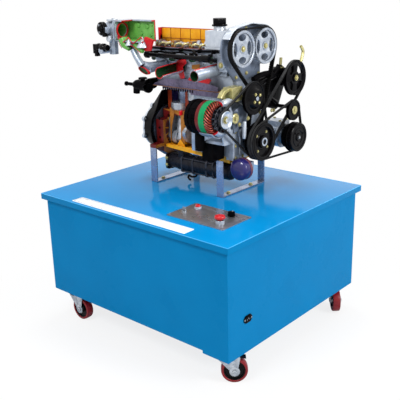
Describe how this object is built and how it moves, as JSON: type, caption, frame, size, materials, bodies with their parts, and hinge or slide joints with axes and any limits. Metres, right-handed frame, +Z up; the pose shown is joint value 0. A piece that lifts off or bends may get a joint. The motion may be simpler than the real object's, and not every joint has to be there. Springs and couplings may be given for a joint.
{
  "type": "sectioned engine trainer on a wheeled cabinet",
  "caption": "Cutaway in-line car engine with belt-driven auxiliaries, turned by a small motor on a wheeled blue cabinet with a control panel.",
  "frame": {"origin": "on the floor under the middle of the cabinet's deck", "axes": "+X along the crankshaft towards the belt drive, -Y towards the operator's side with the control panel, +Z up"},
  "size_m": [1, 0.885, 1.245],
  "materials": {
    "cabinet_blue": "gloss blue powder coat on sheet steel",
    "steel": "brushed stainless steel",
    "signal_red": "moulded red plastic",
    "black_plastic": "moulded black plastic",
    "zinc": "bright zinc plate on pressed steel",
    "wheel_red": "dark red wheel with a plain tread",
    "section_orange": "orange and yellow paint on cut faces",
    "cast_aluminium": "silver paint on castings",
    "machined_steel": "machined and polished steel",
    "black_enamel": "black enamel",
    "belt_rubber": "reinforced belt rubber",
    "stator_green": "green paint on laminations",
    "winding_red": "varnished copper wire",
    "yellow_zinc": "yellow passivated zinc",
    "filter_blue": "blue enamel"
  },
  "bodies": {
    "frame": {"cabinet": "cabinet_blue", "deck": "cabinet_blue", "console_plate": "steel", "stand_front": "steel", "stand_rear": "steel", "mains_inlet": "black_plastic", "fuel_rail": "black_plastic", "coolant_outlet": "black_plastic", "cylinder_block": "section_orange", "oil_pan": "section_orange", "cam_cover": "section_orange", "cylinder_head": "cast_aluminium", "timing_cover": "cast_aluminium", "piston_3": "cast_aluminium", "piston_4": "cast_aluminium", "intake_manifold": "cast_aluminium", "throttle_body": "cast_aluminium", "alternator_housing": "cast_aluminium", "compressor": "cast_aluminium", "crankshaft": "machined_steel", "con_rod_3": "machined_steel", "con_rod_4": "machined_steel", "bell_housing": "black_enamel", "drive_motor": "black_enamel", "engine_mount": "black_enamel", "steering_pump": "black_enamel", "alternator_rear_cover": "black_enamel", "timing_belt": "belt_rubber", "alternator_belt": "belt_rubber", "steering_belt": "belt_rubber", "compressor_belt": "belt_rubber", "alternator_stator": "stator_green", "stator_winding": "winding_red", "mount_bracket": "yellow_zinc", "oil_filter": "filter_blue"},
    "crank": {"crank_pulley": "black_enamel"},
    "intake_cam": {"intake_camshaft": "machined_steel", "intake_sprocket": "machined_steel"},
    "exhaust_cam": {"exhaust_sprocket": "machined_steel"},
    "alternator": {"alternator_rotor": "machined_steel"},
    "water_pump": {"water_pump_pulley": "black_enamel"},
    "steering": {"steering_pulley": "black_enamel"},
    "clutch": {"compressor_clutch": "black_enamel"},
    "idler": {"idler_pulley": "black_enamel"},
    "filler_cap": {"oil_filler_cap": "black_plastic"},
    "throttle": {"throttle_plate": "machined_steel"},
    "estop": {"estop_button": "signal_red"},
    "start": {"start_button": "signal_red"},
    "knob": {"speed_knob": "black_plastic"},
    "key": {"key_switch": "black_plastic"},
    "swivel_operator_front": {"caster_fork_operator_front": "zinc"},
    "wheel_operator_front": {"caster_wheel_operator_front": "wheel_red"},
    "swivel_operator_rear": {"caster_fork_operator_rear": "zinc"},
    "wheel_operator_rear": {"caster_wheel_operator_rear": "wheel_red"},
    "swivel_far_front": {"caster_fork_far_front": "zinc"},
    "wheel_far_front": {"caster_wheel_far_front": "wheel_red"},
    "swivel_far_rear": {"caster_fork_far_rear": "zinc"},
    "wheel_far_rear": {"caster_wheel_far_rear": "wheel_red"},
    "brake_operator_front": {"brake_pedal_operator_front": "zinc"},
    "brake_operator_rear": {"brake_pedal_operator_rear": "zinc"}
  },
  "joints": [
    {"name": "crank_turn", "type": "hinge", "parent": "frame", "child": "crank", "pos_m": [0.2, 0.1, 0.772], "axis": [1, 0, 0], "continuous": true},
    {"name": "intake_cam_turn", "type": "hinge", "parent": "frame", "child": "intake_cam", "pos_m": [0.19, 0.036, 1.134], "axis": [1, 0, 0], "continuous": true},
    {"name": "exhaust_cam_turn", "type": "hinge", "parent": "frame", "child": "exhaust_cam", "pos_m": [0.19, 0.178, 1.134], "axis": [1, 0, 0], "continuous": true},
    {"name": "alternator_turn", "type": "hinge", "parent": "frame", "child": "alternator", "pos_m": [0.2, -0.099, 0.8885], "axis": [1, 0, 0], "continuous": true},
    {"name": "water_pump_turn", "type": "hinge", "parent": "frame", "child": "water_pump", "pos_m": [0.2, 0.074, 0.945], "axis": [1, 0, 0], "continuous": true},
    {"name": "steering_pump_turn", "type": "hinge", "parent": "frame", "child": "steering", "pos_m": [0.2, 0.337, 0.993], "axis": [1, 0, 0], "continuous": true},
    {"name": "compressor_turn", "type": "hinge", "parent": "frame", "child": "clutch", "pos_m": [0.24, 0.315, 0.752], "axis": [1, 0, 0], "continuous": true},
    {"name": "idler_turn", "type": "hinge", "parent": "frame", "child": "idler", "pos_m": [0.24, 0.309, 0.865], "axis": [1, 0, 0], "continuous": true},
    {"name": "throttle_turn", "type": "hinge", "parent": "frame", "child": "throttle", "pos_m": [-0.3773, -0.097, 1.197], "axis": [0, 1, 0], "range_deg": [0, 80]},
    {"name": "filler_cap_lift", "type": "slide", "parent": "frame", "child": "filler_cap", "axis": [0, 0, 1], "range_m": [0, 0.03]},
    {"name": "estop_press", "type": "slide", "parent": "frame", "child": "estop", "axis": [0, 0, -1], "range_m": [0, 0.005], "stiffness_N_per_m": 800},
    {"name": "start_press", "type": "slide", "parent": "frame", "child": "start", "axis": [0, 0, -1], "range_m": [0, 0.003], "stiffness_N_per_m": 800},
    {"name": "speed_knob_turn", "type": "hinge", "parent": "frame", "child": "knob", "pos_m": [0.317, -0.194, 0.565], "axis": [0, 0, -1], "range_deg": [0, 270]},
    {"name": "key_turn", "type": "hinge", "parent": "frame", "child": "key", "pos_m": [0.141, -0.258, 0.565], "axis": [0, 0, -1], "range_deg": [0, 90]},
    {"name": "caster_swivel_operator_front", "type": "hinge", "parent": "frame", "child": "swivel_operator_front", "pos_m": [0.4235, -0.382, 0.11], "axis": [0, 0, 1], "continuous": true},
    {"name": "caster_swivel_operator_rear", "type": "hinge", "parent": "frame", "child": "swivel_operator_rear", "pos_m": [-0.3975, -0.382, 0.11], "axis": [0, 0, 1], "continuous": true},
    {"name": "caster_swivel_far_front", "type": "hinge", "parent": "frame", "child": "swivel_far_front", "pos_m": [0.4235, 0.382, 0.11], "axis": [0, 0, 1], "continuous": true},
    {"name": "caster_swivel_far_rear", "type": "hinge", "parent": "frame", "child": "swivel_far_rear", "pos_m": [-0.3975, 0.382, 0.11], "axis": [0, 0, 1], "continuous": true},
    {"name": "caster_roll_operator_front", "type": "hinge", "parent": "swivel_operator_front", "child": "wheel_operator_front", "pos_m": [0.45369, -0.35576, 0.04904], "axis": [-0.6561, 0.7547, 0], "continuous": true},
    {"name": "caster_roll_operator_rear", "type": "hinge", "parent": "swivel_operator_rear", "child": "wheel_operator_rear", "pos_m": [-0.3575, -0.382, 0.04904], "axis": [0, 1, 0], "continuous": true},
    {"name": "caster_roll_far_front", "type": "hinge", "parent": "swivel_far_front", "child": "wheel_far_front", "pos_m": [0.44974, 0.35181, 0.04904], "axis": [0.7547, 0.6561, 0], "continuous": true},
    {"name": "caster_roll_far_rear", "type": "hinge", "parent": "swivel_far_rear", "child": "wheel_far_rear", "pos_m": [-0.43375, 0.39891, 0.04904], "axis": [-0.4226, -0.9063, 0], "continuous": true},
    {"name": "caster_brake_operator_front", "type": "hinge", "parent": "swivel_operator_front", "child": "brake_operator_front", "pos_m": [0.46576, -0.34526, 0.10354], "axis": [-0.6561, 0.7547, 0], "range_deg": [0, 15]},
    {"name": "caster_brake_operator_rear", "type": "hinge", "parent": "swivel_operator_rear", "child": "brake_operator_rear", "pos_m": [-0.3415, -0.382, 0.10354], "axis": [0, 1, 0], "range_deg": [0, 15]}
  ],
  "couplings": [
    {"joint": "intake_cam_turn", "follows": "crank_turn", "ratio": 0.5},
    {"joint": "exhaust_cam_turn", "follows": "crank_turn", "ratio": 0.5},
    {"joint": "alternator_turn", "follows": "crank_turn", "ratio": 2.4561},
    {"joint": "water_pump_turn", "follows": "crank_turn", "ratio": 1.1966},
    {"joint": "steering_pump_turn", "follows": "crank_turn", "ratio": 1.0526},
    {"joint": "compressor_turn", "follows": "crank_turn", "ratio": 1.2389},
    {"joint": "idler_turn", "follows": "crank_turn", "ratio": 1.8667}
  ]
}
